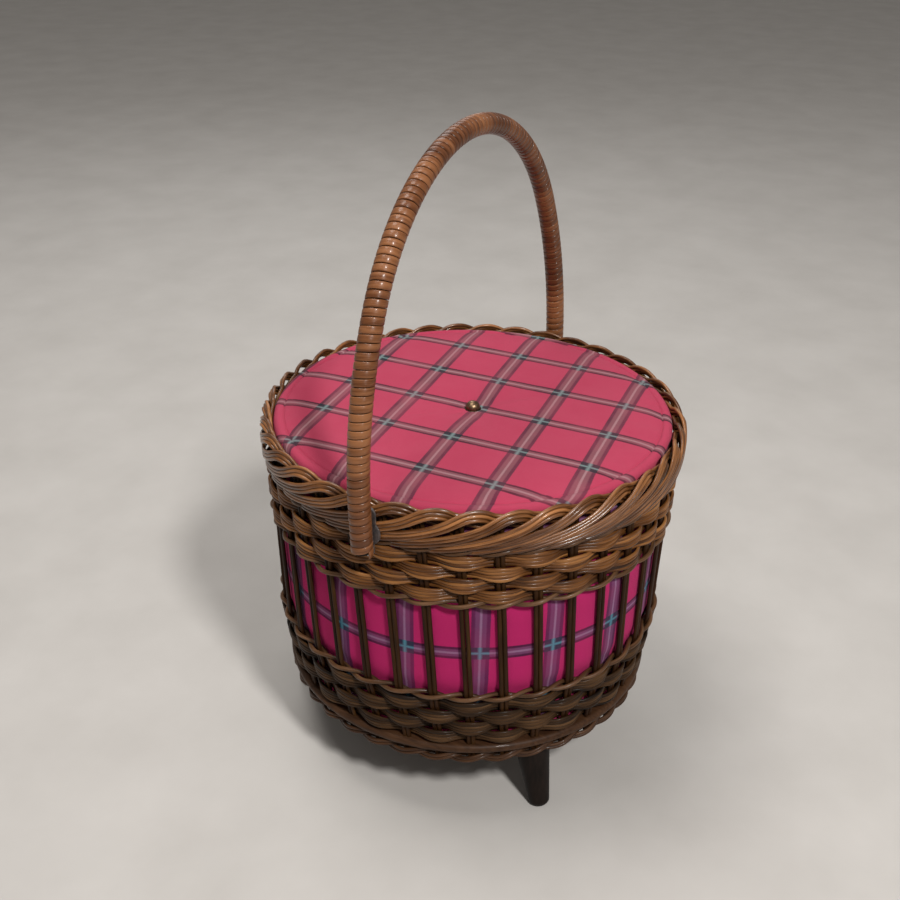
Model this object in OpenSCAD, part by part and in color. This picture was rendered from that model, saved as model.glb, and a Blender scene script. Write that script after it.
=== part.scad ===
// Round wicker sewing basket on three splayed legs, with a cloth lining, a padded
// cloth-covered lid that lifts off and a cane-wrapped bail handle that swings.
// Millimetres, +Z up. The origin is on the floor, under the middle of the basket.
// The handle's pivots lie on the X axis.

/* [Wall] */
// Number of upright stake pairs; an odd number lets one weaver go round without a break
stake_n = 37; // [33:2:41]
// Radius of one stake cane
stake_r = 1.6; // [1.3:0.1:1.7]
// Turn of the leaning stakes for each 100 mm of height, in degrees
stake_lean = 2.2; // [0:0.1:2.6]
// Radius of the circle of stakes at the base board
base_ring_r = 155.4; // [153:0.2:157]
// Radius of the circle of stakes at the top of the lower band
waist_ring_r = 163.9; // [162:0.1:165]
// Radius of the circle of stakes at the border
top_ring_r = 168.7; // [168.2:0.1:169]

/* [Heights] */
// Underside of the base board
board_z = 73; // [70:1:76]
// Top edge of the lower woven band
lower_band_top = 139; // [138:0.5:142]
// Bottom edge of the upper woven band
upper_band_bottom = 223.5; // [221:0.5:224]
// Top of the plaited border
rim_z = 311; // [311:0.5:313]

/* [Weave] */
// Height from one row of the lower weave to the next; a row is three canes side by side
lower_pitch = 11.4; // [10.8:0.1:11.6]
// Height from one row of the upper weave to the next
upper_pitch = 10.2; // [9.4:0.1:10.3]
// Thickness of a weaver
weaver_t = 2.6; // [2:0.1:2.6]

/* [Base and legs] */
// Radius of the base board
board_r = 160.5; // [160:0.5:162]
// Thickness of the base board
board_t = 8; // [6:1:9]
// Radius of a leg at the base board
leg_top_r = 18.5; // [16:0.5:19]
// Radius of a leg just above its rounded foot
leg_foot_r = 9; // [8:0.5:11]
// Distance of a foot from the middle of the basket
foot_circle_r = 152; // [150:1:158]
// Angle of a leg from upright
leg_splay = 20; // [14:1:21]

/* [Handle] */
// Half the distance between the handle's two upright parts, centre to centre
handle_half_span = 186; // [186:0.5:188]
// Rise of the arch above its shoulders
arch_rise = 228; // [220:1:240]
// Radius of the crown of the arch
crown_r = 172; // [150:1:175]
// Outer radius of the wrapped handle
handle_r = 8.2; // [8:0.1:8.2]
// Height of the pivots
pivot_z = 284; // [283:0.5:285]
// Angle that the handle at rest leans from upright, towards +Y
handle_lean = 2; // [0:0.5:4]

/* [Lid] */
// Outer radius of the covered lid
lid_r = 164.3; // [163:0.1:164.5]
// Thickness of the lid's board
lid_board_t = 3; // [2:0.5:3]
// Radius of the knob
knob_r = 6; // [5:0.5:8]

/* [Hidden] */

// Colours
cane = [0.43, 0.25, 0.10];
cane_light = [0.55, 0.36, 0.18];
dark_cane = [0.30, 0.17, 0.08];
dark_wood = [0.13, 0.08, 0.06];
board_wood = [0.47, 0.29, 0.16];
tartan = [0.72, 0.18, 0.42];
wadding = [0.90, 0.88, 0.84];
card = [0.55, 0.42, 0.30];
steel = [0.62, 0.63, 0.64];
brass = [0.60, 0.50, 0.22];

// Stakes stand in pairs, side by side round the wall
stake_step = 360 / stake_n;
stake_gap = 0.3;
stake_half_pair = stake_r + stake_gap / 2;
stake_bottom = board_z - 9;
stake_top = rim_z - 12;
lean_zero_z = 186;

// A weaver clears the stakes by this much
weave_clear = 0.4;
weave_offset = stake_r + weave_clear + weaver_t / 2;
weave_rows = 4;
climb_stakes = 4;
row_gap = 0.8;
pairing_offset = weave_offset + 0.3;
wall_inside = pairing_offset + weaver_t / 2 + 0.4;

board_top = board_z + board_t;
lining_t = 1.5;
lining_bottom = board_top + 0.6;
lining_top = rim_z - 15;
curve_fn = 96;

// Radius of the circle of stakes at height z
function ring_r(z) = lookup(z, [
    [board_z, base_ring_r - 0.6],
    [board_top, base_ring_r],
    [lower_band_top, waist_ring_r],
    [upper_band_bottom, (waist_ring_r * 0.5 + top_ring_r * 0.5)],
    [rim_z, top_ring_r]]);
// Turn of a leaning stake at height z
function lean(z) = stake_lean * (lean_zero_z - z) / 100;
function polar(r, a, z) = [r * cos(a), r * sin(a), z];
function arc_deg(length, r) = length / r * 180 / PI;
function ellipse_section(rx, ry, sides) =
    [for (i = [0:sides - 1]) [rx * cos(360 * (i + 0.5) / sides), ry * sin(360 * (i + 0.5) / sides)]];
function box_section(w, h) = [[w, -h] / 2, [w, h] / 2, [-w, h] / 2, [-w, -h] / 2];

// Faces of a tube of rings; each ring holds m points, going round the same way
function side_faces(rings, m, closed) = [
    for (i = [0:rings - (closed ? 1 : 2)], j = [0:m - 1])
        let (a = i * m, b = ((i + 1) % rings) * m, k = (j + 1) % m)
            each [[a + j, b + k, a + k], [a + j, b + j, b + k]]];
function cap_faces(rings, m) = concat(
    [for (j = [1:m - 2]) [0, j, j + 1]],
    [for (j = [1:m - 2]) let (e = (rings - 1) * m) [e, e + j + 1, e + j]]);

// A strand that runs round the wall and leans with it. Each point of the path is [distance
// outside the circle of stakes, angle, height] and each of the section is [outward, downward].
module round_strand(path, section, closed = false) {
    m = len(section);
    points = [for (p = path, s = section)
        let (z = p[2] - s[1])
            polar(ring_r(z) + p[0] + s[0], p[1], z)];
    faces = concat(side_faces(len(path), m, closed), closed ? [] : cap_faces(len(path), m));
    polyhedron(points, faces);
}

// A cane that stands in the wall: each point of the section is [outward, sideways]
module upright_strand(path, section) {
    m = len(section);
    points = [for (p = path, s = section)
        polar(p[0] + s[0], p[1] + arc_deg(s[1], p[0]), p[2])];
    polyhedron(points, concat(side_faces(len(path), m, false), cap_faces(len(path), m)));
}

// Slewed rows are one band that goes over one stake pair and under the next. It stays level for
// most of a turn, and climbs to the next row over the last few stakes.
module slewed_weave(bottom, pitch) {
    reach = stake_half_pair + stake_r + 1;
    row_h = pitch - row_gap;
    path = [for (k = [0:weave_rows * stake_n - climb_stakes - 1], side = [-1, 1])
        let (climb = max(0, k % stake_n - stake_n + climb_stakes) / climb_stakes,
             z = bottom + row_h / 2 + pitch * (floor(k / stake_n) + climb),
             out = k % 2 == 0 ? weave_offset : -weave_offset)
            [out, stake_step * k + lean(z) + arc_deg(side * reach, ring_r(z)), z]];
    round_strand(path, box_section(weaver_t, row_h));
}

// Two strands twisted round each other between the stake pairs, with their middle a little
// outside the circle of stakes. With an odd number of pairs they are one strand that closes on
// itself after two turns.
module twisted_pair(z, middle, offset, rise, section) {
    path = [for (q = [0:4 * stake_n - 1])
        let (phase = 90 * q)
            [middle + offset * cos(phase), stake_step * q / 2 + lean(z), z + rise * sin(phase)]];
    round_strand(path, section, closed = true);
}

module pairing_row(z)
    twisted_pair(z, 0, pairing_offset, 1.7, ellipse_section(weaver_t * 0.6, 2.1, 4));

module base_board() {
    color(board_wood)
    difference() {
        rotate_extrude($fn = curve_fn) {
            translate([0, board_z]) square([board_r - board_t / 2, board_t]);
            translate([board_r - board_t / 2, board_z + board_t / 2]) circle(d = board_t, $fn = 48);
        }
        for (i = [0:2]) leg_frame(i) leg_screw(leg_screw_clear);
    }
}

// The foot border lies under the board's edge, and the stakes end in it
module foot_border() {
    foot_z = board_z - 6;
    color(dark_cane)
    twisted_pair(foot_z, 0.2, 3.2, 2.4, ellipse_section(2.7, 3.1, 6));
}

module stakes() {
    heights = [stake_bottom, board_top, lower_band_top, upper_band_bottom, stake_top];
    color(cane)
    for (k = [0:stake_n - 1], side = [-1, 1])
        upright_strand(
            [for (z = heights)
                [ring_r(z), stake_step * k + lean(z) + arc_deg(side * stake_half_pair, ring_r(z)), z]],
            [for (i = [0:5]) stake_r * [cos(60 * i + 30), sin(60 * i + 30)]]);
}

module lower_weave()
    color(cane) slewed_weave(board_top + 4, lower_pitch);

module lower_pairing()
    color(cane_light) pairing_row(lower_band_top - 3.6);

module upper_weave_bottom_pairing()
    color(cane_light) pairing_row(upper_band_bottom + 3.2);

module upper_weave()
    color(cane) slewed_weave(upper_band_bottom + 6.8, upper_pitch);

module upper_weave_top_pairing()
    color(cane_light) pairing_row(rim_z - 36.5);

// The stakes' ends, turned over and plaited into a rim
border_half_h = 4.6;
border_rise = 10;
module top_border() {
    z = rim_z - border_half_h - border_rise;
    color(cane_light)
    twisted_pair(z, 1.7, 2.8, border_rise, ellipse_section(2.5, border_half_h, 6));
}

module lining_wall() {
    heights = [lining_bottom, lower_band_top, upper_band_bottom, lining_top];
    profile = concat(
        [for (i = [len(heights) - 1:-1:0]) [ring_r(heights[i]) - wall_inside, heights[i]]],
        [for (z = heights) [ring_r(z) - wall_inside - lining_t, z]]);
    sides = 2 * stake_n;
    color(tartan)
    polyhedron(
        [for (k = [0:sides - 1], p = profile) polar(p[0], 360 / sides * k, p[1])],
        side_faces(sides, len(profile), true));
}

module base_pad() {
    color(tartan)
    translate([0, 0, board_top + 0.3])
    cylinder(r = base_ring_r - wall_inside - lining_t - 2, h = 3, $fn = curve_fn);
}

// A cane hoop inside the top of the lining, which the lid lies on
hoop_r = 3;
module lid_rest_hoop() {
    ring = ring_r(lining_top) - wall_inside - lining_t - hoop_r - 0.6;
    color(cane_light)
    rotate_extrude($fn = curve_fn)
    translate([ring, lining_top - hoop_r]) circle(r = hoop_r, $fn = 32);
}

// Legs: leg_frame puts a leg's own axis in place, with its origin at the foot's centre
leg_angles = [230, 350, 110];
leg_len = board_z / cos(leg_splay);
leg_screw_clear = 0.15;
leg_screw_r = 2.5;
leg_screw_head_r = 5;
leg_screw_len = 42;
module leg_frame(i)
    rotate(leg_angles[i])
    translate([foot_circle_r, 0, 0])
    rotate([0, -leg_splay, 0])
    children();

module leg(i) {
    round_r = leg_foot_r;
    color(dark_wood)
    difference() {
        leg_frame(i)
        rotate_extrude($fn = curve_fn)
        union() {
            polygon([[0, round_r * 0.5], [round_r, round_r * 0.5], [leg_top_r, leg_len + 8],
                     [0, leg_len + 8]]);
            intersection() {
                translate([0, round_r * 0.5]) scale([1, 0.75]) circle(r = round_r, $fn = 48);
                translate([0, -round_r]) square([round_r, round_r * 1.5]);
            }
        }
        translate([-300, -300, board_z - 0.1]) cube([600, 600, 60]);
        translate([-300, -300, -60]) cube([600, 600, 60]);
        leg_frame(i) leg_screw(leg_screw_clear);
    }
}
module leg_1() leg(0);
module leg_2() leg(1);
module leg_3() leg(2);

// A countersunk screw along a leg's axis, its head sunk in the base board
module leg_screw(clear = 0) {
    head_z = (board_top - 1) / cos(leg_splay) - 2.4;
    translate([0, 0, head_z - leg_screw_len - clear])
    cylinder(r = leg_screw_r + clear, h = leg_screw_len + 2 * clear, $fn = 32);
    translate([0, 0, head_z - 3])
    cylinder(r1 = leg_screw_r + clear, r2 = leg_screw_head_r + clear, h = 3, $fn = 32);
    if (clear > 0)
        translate([0, 0, head_z - 0.001])
        cylinder(r = leg_screw_head_r + clear, h = 20, $fn = 32);
}
module leg_screws()
    color(steel) for (i = [0:2]) leg_frame(i) leg_screw();

// Handle brackets: a flat steel strap stands between the border and the handle at each end of
// the pivot line. It holds the pivot in a round eye, and a countersunk screw above the eye and
// one below it are covered by the handle.
bracket_t = 1.8;
bracket_face_x = handle_half_span - handle_r - 0.5;
bracket_back_x = bracket_face_x - bracket_t;
bracket_eye_r = 10;
strap_half_w = 6.5;
tongue_half_w = 5;
strap_top_z = rim_z - 5;
upper_screw_z = pivot_z + 16;
lower_screw_z = pivot_z - 15;
screw_r = 1.5;
screw_head_r = 2.8;
screw_clear = 0.1;
stud_r = 2.5;
pivot_clear = 0.05;

module bracket_outline() {
    translate([0, pivot_z]) circle(r = bracket_eye_r, $fn = 48);
    translate([0, strap_top_z - strap_half_w]) circle(r = strap_half_w, $fn = 48);
    translate([-strap_half_w, pivot_z])
        square([2 * strap_half_w, strap_top_z - strap_half_w - pivot_z]);
    translate([0, lower_screw_z]) circle(r = tongue_half_w, $fn = 48);
    translate([-tongue_half_w, lower_screw_z]) square([2 * tongue_half_w, pivot_z - lower_screw_z]);
}

module handle_bracket() {
    color(steel)
    difference() {
        rotate([90, 0, 90]) translate([0, 0, bracket_back_x])
            linear_extrude(height = bracket_t) bracket_outline();
        translate([bracket_back_x - 1, 0, pivot_z]) rotate([0, 90, 0])
            cylinder(r = stud_r + pivot_clear, h = bracket_t + 2, $fn = 48);
        bracket_screw(upper_screw_z, bracket_back_x - 5, screw_clear);
        bracket_screw(lower_screw_z, bracket_back_x - 5, screw_clear);
    }
}
module handle_bracket_right() handle_bracket();
module handle_bracket_left() rotate(180) handle_bracket();

// A countersunk screw from the bracket's outer face in to end_x
module bracket_screw(z, end_x, clear = 0) {
    head_t = 1.4;
    face_x = bracket_face_x - 0.05 + clear;
    translate([end_x, 0, z]) rotate([0, 90, 0])
        cylinder(r = screw_r + clear, h = face_x - end_x - 0.2, $fn = 32);
    translate([face_x - head_t, 0, z]) rotate([0, 90, 0])
        cylinder(r1 = screw_r + clear, r2 = screw_head_r + clear, h = head_t, $fn = 32);
}

// The lower screw runs between the canes and through the lining to a plate and a nut inside.
// The upper one ends in the border.
backing_t = 1.2;
backing_half_w = 7;
backing_face_x = ring_r(lower_screw_z) - wall_inside - lining_t - 0.4;
nut_t = 2.2;
nut_x = backing_face_x - backing_t - nut_t - 0.05;
lower_screw_end_x = nut_x - 1;
upper_screw_end_x = top_ring_r - 2;

module bracket_screws()
    color(steel)
    for (turn = [0, 180]) rotate(turn) {
        bracket_screw(upper_screw_z, upper_screw_end_x);
        bracket_screw(lower_screw_z, lower_screw_end_x);
    }

module backing_plate() {
    color(steel)
    translate([backing_face_x - backing_t, 0, lower_screw_z])
    rotate([0, 90, 0])
    difference() {
        cylinder(r = backing_half_w, h = backing_t, $fn = 48);
        translate([0, 0, -1]) cylinder(r = screw_r + screw_clear, h = backing_t + 2, $fn = 32);
    }
}
module backing_plate_right() backing_plate();
module backing_plate_left() rotate(180) backing_plate();

module bracket_nuts() {
    color(steel)
    for (turn = [0, 180])
        rotate(turn) translate([nut_x, 0, lower_screw_z])
        rotate([0, 90, 0])
        difference() {
            cylinder(r = 3.1, h = nut_t, $fn = 6);
            translate([0, 0, -1]) cylinder(r = screw_r + 0.05, h = nut_t + 2, $fn = 32);
        }
}

// Handle: two upright parts, two side arcs and a crown arc that run into each other smoothly
shoulder_z = rim_z - 4;
handle_end_z = pivot_z - 11;
crown_z = shoulder_z + arch_rise - crown_r;
crown_lift = crown_z - shoulder_z;
side_r = (handle_half_span * handle_half_span + crown_lift * crown_lift - crown_r * crown_r)
    / (2 * (handle_half_span - crown_r));
side_x = handle_half_span - side_r;
side_sweep = atan2(crown_lift, -side_x);

// Half of the centre line, from the right end up: [x, z, angle of the outward side from +X]
side_steps = 6;
crown_steps = 8;
half_arch = concat(
    [[handle_half_span, handle_end_z, 0]],
    [for (i = [0:side_steps]) let (a = side_sweep * i / side_steps)
        [side_x + side_r * cos(a), shoulder_z + side_r * sin(a), a]],
    [for (i = [1:crown_steps]) let (a = side_sweep + (90 - side_sweep) * i / crown_steps)
        [crown_r * cos(a), crown_z + crown_r * sin(a), a]]);
arch = concat(half_arch,
    [for (i = [len(half_arch) - 2:-1:0]) let (p = half_arch[i]) [-p[0], p[1], 180 - p[2]]]);
arch_sides = 14;
function arch_points(r) = [
    for (p = arch, s = ellipse_section(r, r, arch_sides))
        [p[0] + s[0] * cos(p[2]), s[1], p[1] + s[0] * sin(p[2])]];

// A round bar along the handle's centre line
module arch_bar(r) {
    n = len(arch);
    polyhedron(arch_points(r),
        concat(side_faces(n, arch_sides, false), cap_faces(n, arch_sides)));
}

// A round tube along the same line, open at its two ends
module arch_tube(r, bore_r) {
    n = len(arch);
    skin = n * arch_sides;
    outer = side_faces(n, arch_sides, false);
    inner = [for (f = outer) [f[2] + skin, f[1] + skin, f[0] + skin]];
    ends = [for (e = [0, n - 1], j = [0:arch_sides - 1])
        let (a = e * arch_sides + j, b = e * arch_sides + (j + 1) % arch_sides)
            each (e == 0 ? [[a, b, b + skin], [a, b + skin, a + skin]]
                         : [[b, a, b + skin], [b + skin, a, a + skin]])];
    polyhedron(concat(arch_points(r), arch_points(bore_r)), concat(outer, inner, ends));
}

module lean_at_pivots() {
    translate([0, 0, pivot_z]) rotate([-handle_lean, 0, 0]) translate([0, 0, -pivot_z]) children();
}

core_r = handle_r - 1.8;
stud_depth = handle_half_span + 3.5;
module stud_bores() {
    for (turn = [0, 180])
        rotate(turn) translate([150, 0, pivot_z]) rotate([0, 90, 0])
        cylinder(r = stud_r + pivot_clear, h = stud_depth - 150 + 0.2, $fn = 48);
}
module handle_core() {
    color(dark_cane)
    difference() {
        lean_at_pivots() arch_bar(core_r);
        stud_bores();
    }
}
module handle_wrap() {
    color(cane)
    difference() {
        lean_at_pivots() arch_tube(handle_r, core_r + 0.1);
        stud_bores();
    }
}

// A headed stud fixed in each end of the handle, turning in the bracket's eye
stud_head_r = 4.6;
stud_head_t = 1.4;
module pivot_stud() {
    head_x = bracket_back_x - 0.3 - stud_head_t;
    color(steel)
    translate([0, 0, pivot_z]) rotate([0, 90, 0]) {
        translate([0, 0, head_x]) cylinder(r = stud_head_r, h = stud_head_t, $fn = 48);
        translate([0, 0, head_x]) cylinder(r = stud_r, h = stud_depth - head_x, $fn = 48);
    }
}
module pivot_stud_right() pivot_stud();
module pivot_stud_left() rotate(180) pivot_stud();

// Lid, from the bottom up: underside cloth, board, padding, cover and knob
lid_bottom = lining_top + 0.3;
lid_cloth_t = 0.8;
lid_board_bottom = lid_bottom + lid_cloth_t + 0.1;
lid_board_top = lid_board_bottom + lid_board_t;
lid_face_z = rim_z - 4;
lid_hem_r = lid_r - 8;
lid_hole_r = 2;
knob_base_z = lid_face_z - 3;
knob_screw_r = 1.5;
knob_screw_grip = 4;
knob_washer_t = 0.8;

module lid_board() {
    color(card)
    translate([0, 0, lid_board_bottom])
    difference() {
        cylinder(r = lid_r - 1.6, h = lid_board_t, $fn = curve_fn);
        translate([0, 0, -1]) cylinder(r = lid_hole_r, h = lid_board_t + 2, $fn = 32);
    }
}
module lid_padding() {
    color(wadding)
    rotate_extrude($fn = curve_fn)
    polygon([[lid_hole_r, lid_board_top + 0.1], [lid_r - 1.8, lid_board_top + 0.1],
             [lid_r - 2.4, lid_face_z - 3.4], [lid_r - 8, lid_face_z - 1.3],
             [lid_r * 0.3, lid_face_z - 1.6], [lid_hole_r, lid_face_z - 4.4]]);
}
module lid_cover() {
    color(tartan)
    rotate_extrude($fn = curve_fn)
    polygon([[lid_hem_r, lid_bottom], [lid_r - 0.4, lid_bottom], [lid_r, lid_bottom + 0.6],
             [lid_r, lid_face_z - 4.2], [lid_r - 1.4, lid_face_z - 2], [lid_r - 4.6, lid_face_z - 0.5],
             [lid_r - 9, lid_face_z], [lid_r * 0.3, lid_face_z - 0.4], [lid_hole_r, lid_face_z - 3.2],
             [lid_hole_r, lid_face_z - 4.2], [lid_r * 0.3, lid_face_z - 1.4],
             [lid_r - 8, lid_face_z - 1.1], [lid_r - 2, lid_face_z - 3.2],
             [lid_r - 1.2, lid_board_bottom - 0.1], [lid_hem_r, lid_board_bottom - 0.1]]);
}
module lid_underside() {
    color(tartan)
    translate([0, 0, lid_bottom])
    difference() {
        cylinder(r = lid_hem_r - 0.3, h = lid_cloth_t, $fn = curve_fn);
        translate([0, 0, -1]) cylinder(r = lid_hole_r, h = 3, $fn = 32);
    }
}
module lid_knob() {
    color(brass)
    difference() {
        rotate_extrude($fn = curve_fn) {
            translate([0, knob_base_z]) square([knob_r * 0.6, 1.5]);
            intersection() {
                translate([0, knob_base_z + 1 + knob_r * 0.3])
                    scale([1, 0.8]) circle(r = knob_r, $fn = 48);
                translate([0, knob_base_z + 1]) square([knob_r, knob_r * 2]);
            }
        }
        translate([0, 0, knob_base_z - 1])
            cylinder(r = knob_screw_r + 0.1, h = 1 + knob_screw_grip, $fn = 32);
    }
}
module knob_washer() {
    color(steel)
    translate([0, 0, lid_bottom - knob_washer_t - 0.1])
    difference() {
        cylinder(r = 5, h = knob_washer_t, $fn = 48);
        translate([0, 0, -1]) cylinder(r = knob_screw_r + 0.2, h = 3, $fn = 32);
    }
}
module knob_screw() {
    head_z = lid_bottom - knob_washer_t - 0.2;
    color(steel) {
        translate([0, 0, head_z - 1.8]) cylinder(r = 3, h = 1.8, $fn = 32);
        translate([0, 0, head_z - 0.5])
            cylinder(r = knob_screw_r, h = knob_base_z + knob_screw_grip - 0.2 - head_z + 0.5, $fn = 32);
    }
}

base_board();
foot_border();
stakes();
lower_weave();
lower_pairing();
upper_weave_bottom_pairing();
upper_weave();
upper_weave_top_pairing();
top_border();
lining_wall();
base_pad();
lid_rest_hoop();
leg_1();
leg_2();
leg_3();
leg_screws();
handle_bracket_left();
handle_bracket_right();
backing_plate_left();
backing_plate_right();
bracket_screws();
bracket_nuts();
handle_core();
handle_wrap();
pivot_stud_left();
pivot_stud_right();
lid_board();
lid_padding();
lid_cover();
lid_underside();
lid_knob();
knob_screw();
knob_washer();
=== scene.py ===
"""A round cane sewing basket: woven wall, tartan lining and lid cushion, cane-wrapped handle."""
from math import atan2, cos, pi, radians, sin

import bmesh
import bpy
import numpy as np
from mathutils import Matrix, Vector
from mathutils.bvhtree import BVHTree


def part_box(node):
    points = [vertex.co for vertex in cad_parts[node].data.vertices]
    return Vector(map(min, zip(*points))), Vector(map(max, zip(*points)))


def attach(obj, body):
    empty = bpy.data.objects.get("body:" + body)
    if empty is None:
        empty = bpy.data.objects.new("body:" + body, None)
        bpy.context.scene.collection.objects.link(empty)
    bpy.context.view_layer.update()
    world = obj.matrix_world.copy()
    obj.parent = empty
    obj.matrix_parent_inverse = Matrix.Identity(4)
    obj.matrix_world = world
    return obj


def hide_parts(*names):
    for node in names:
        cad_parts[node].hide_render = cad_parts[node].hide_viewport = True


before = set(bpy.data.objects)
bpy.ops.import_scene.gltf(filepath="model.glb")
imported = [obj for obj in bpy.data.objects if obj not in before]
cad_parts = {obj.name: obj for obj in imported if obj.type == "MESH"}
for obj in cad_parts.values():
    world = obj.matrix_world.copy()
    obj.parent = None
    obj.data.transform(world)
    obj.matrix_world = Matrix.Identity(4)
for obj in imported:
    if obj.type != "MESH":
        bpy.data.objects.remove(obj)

scene = bpy.context.scene
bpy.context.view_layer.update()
rng = np.random.default_rng(11)
MM = 0.001


# ---------------------------------------------------------------- Camera and light

def make_camera():
    """Stands a little above the basket's left end and looks down on the lid."""
    camera = bpy.data.objects.new("camera", bpy.data.cameras.new("camera"))
    scene.collection.objects.link(camera)
    camera.data.lens = 46.8
    camera.data.sensor_width = 36
    heading, down, roll = -64.288, 28.867, 0.914
    camera.matrix_world = (
        Matrix.Translation((-0.7897, -0.3599, 0.7434))
        @ Matrix.Rotation(radians(heading), 4, "Z")
        @ Matrix.Rotation(radians(90 - down), 4, "X")
        @ Matrix.Rotation(radians(roll), 4, "Z")
    )
    scene.camera = camera


def soft_light(name, position, aim, size, watts, colour=(1, 1, 1)):
    """A round lamp that faces the point it is aimed at."""
    light = bpy.data.lights.new(name, "AREA")
    light.shape = "DISK"
    light.size = size
    light.energy = watts
    light.color = colour
    lamp = bpy.data.objects.new(name, light)
    scene.collection.objects.link(lamp)
    lamp.location = position
    lamp.rotation_euler = (Vector(aim) - Vector(position)).to_track_quat("-Z", "Y").to_euler()


def make_lights():
    """A strong key above the camera's right shoulder, and weak fill from above and behind."""
    world = bpy.data.worlds.new("world")
    world.use_nodes = True
    background = world.node_tree.nodes["Background"]
    background.inputs["Color"].default_value = (1.0, 0.95, 0.90, 1)
    background.inputs["Strength"].default_value = 0.24
    scene.world = world
    middle = (0, 0, 0.28)
    soft_light("key", (-1.24, -1.52, 2.28), middle, 0.36, 66, (1.0, 0.97, 0.94))
    soft_light("overhead", (-0.25, 0.45, 2.3), middle, 1.0, 24, (1.0, 0.96, 0.92))
    soft_light("back", (1.3, 0.9, 1.5), middle, 1.0, 6)
    scene.view_settings.view_transform = "Standard"


# ---------------------------------------------------------------- Materials

class Shader:
    """A node material under construction, with short names for the nodes it uses."""

    def __init__(self, name, roughness=0.5, specular=0.5):
        self.material = bpy.data.materials.new(name)
        self.material.use_nodes = True
        self.tree = self.material.node_tree
        self.surface = self.tree.nodes["Principled BSDF"]
        self.set("Roughness", roughness)
        self.set("Specular IOR Level", specular)

    def set(self, socket, value):
        """A constant goes on the shader's own socket, and a node's output is linked to it."""
        if isinstance(value, bpy.types.NodeSocket):
            self.tree.links.new(value, self.surface.inputs[socket])
        else:
            self.surface.inputs[socket].default_value = value

    def node(self, kind, inputs=(), **settings):
        made = self.tree.nodes.new(kind)
        for key, value in settings.items():
            setattr(made, key, value)
        for key, value in dict(inputs).items():
            if isinstance(value, bpy.types.NodeSocket):
                self.tree.links.new(value, made.inputs[key])
            else:
                made.inputs[key].default_value = value
        return made

    def attribute(self, name, output="Vector"):
        return self.node("ShaderNodeAttribute", attribute_name=name).outputs[output]

    def here(self):
        """The point on the piece itself, which moves with it."""
        return self.node("ShaderNodeTexCoord").outputs["Object"]

    def stretch(self, vector, scale):
        return self.node("ShaderNodeMapping", {"Vector": vector, "Scale": scale}).outputs[0]

    def noise(self, vector, scale, detail=3.0, roughness=0.55):
        inputs = {"Vector": vector, "Scale": scale, "Detail": detail, "Roughness": roughness}
        return self.node("ShaderNodeTexNoise", inputs).outputs["Fac"]

    def math(self, operation, a, b=0.0, clamp=False):
        made = self.node("ShaderNodeMath", {0: a, 1: b}, operation=operation, use_clamp=clamp)
        return made.outputs[0]

    def split(self, vector):
        return self.node("ShaderNodeSeparateXYZ", {0: vector}).outputs

    def ramp(self, factor, *stops):
        made = self.node("ShaderNodeValToRGB", {"Fac": factor})
        points = made.color_ramp.elements
        while len(points) < len(stops):
            points.new(1.0)
        for point, (position, colour) in zip(points, stops):
            point.position = position
            point.color = (*colour, 1)
        return made.outputs["Color"]

    def level(self, factor, low, high, bottom, top):
        """Low to high in the factor becomes bottom to top, and stops there."""
        inputs = {0: factor, 1: low, 2: high, 3: bottom, 4: top}
        return self.node("ShaderNodeMapRange", inputs).outputs[0]

    def mix(self, factor, a, b):
        """Colour a where the factor is 0, and colour b where it is 1."""
        made = self.node("ShaderNodeMix", data_type="RGBA")
        for index, value in ((0, factor), (6, a), (7, b)):
            if isinstance(value, bpy.types.NodeSocket):
                self.tree.links.new(value, made.inputs[index])
            else:
                made.inputs[index].default_value = value if index == 0 else (*value, 1)
        return made.outputs[2]

    def bump(self, height, distance, strength=1.0):
        inputs = {"Height": height, "Distance": distance, "Strength": strength}
        self.set("Normal", self.node("ShaderNodeBump", inputs).outputs[0])


def cane_material(name, pale, mid, dark, roughness=0.42, coat=0.12, shine=0.2):
    """Varnished cane. Fine fibres run along it and stain lies in streaks. The tone attribute adds
    random tone, and on the woven rows and borders a painted highlight on the outward bulges and
    painted shade in the hollows."""
    s = Shader(name, specular=shine)
    grain = s.attribute("grain")
    fibre = s.noise(s.stretch(grain, (90, 3200, 3200)), 1.0, 2.0)
    streak = s.noise(s.stretch(grain, (35, 420, 420)), 1.0, 3.0)
    shade = s.math("ADD", s.math("MULTIPLY", streak, 0.75), s.math("MULTIPLY", fibre, 0.35))
    # tone: random tone, plus painted highlight and painted shade on the woven canes and borders
    shade = s.math("ADD", shade, s.attribute("tone", "Fac"))
    s.set("Base Color", s.ramp(shade, (0.32, dark), (0.60, mid), (0.92, pale)))
    s.set("Roughness", s.level(streak, 0.3, 0.7, roughness - 0.08, roughness + 0.14))
    s.set("Coat Weight", coat)
    s.set("Coat Roughness", 0.16)
    s.bump(s.math("ADD", fibre, s.math("MULTIPLY", streak, 0.6)), 0.00022, 0.7)
    return s.material


WIDE_HALF, NARROW_HALF = 7.8 * MM, 6.4 * MM
THREAD = 0.62 * MM


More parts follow.
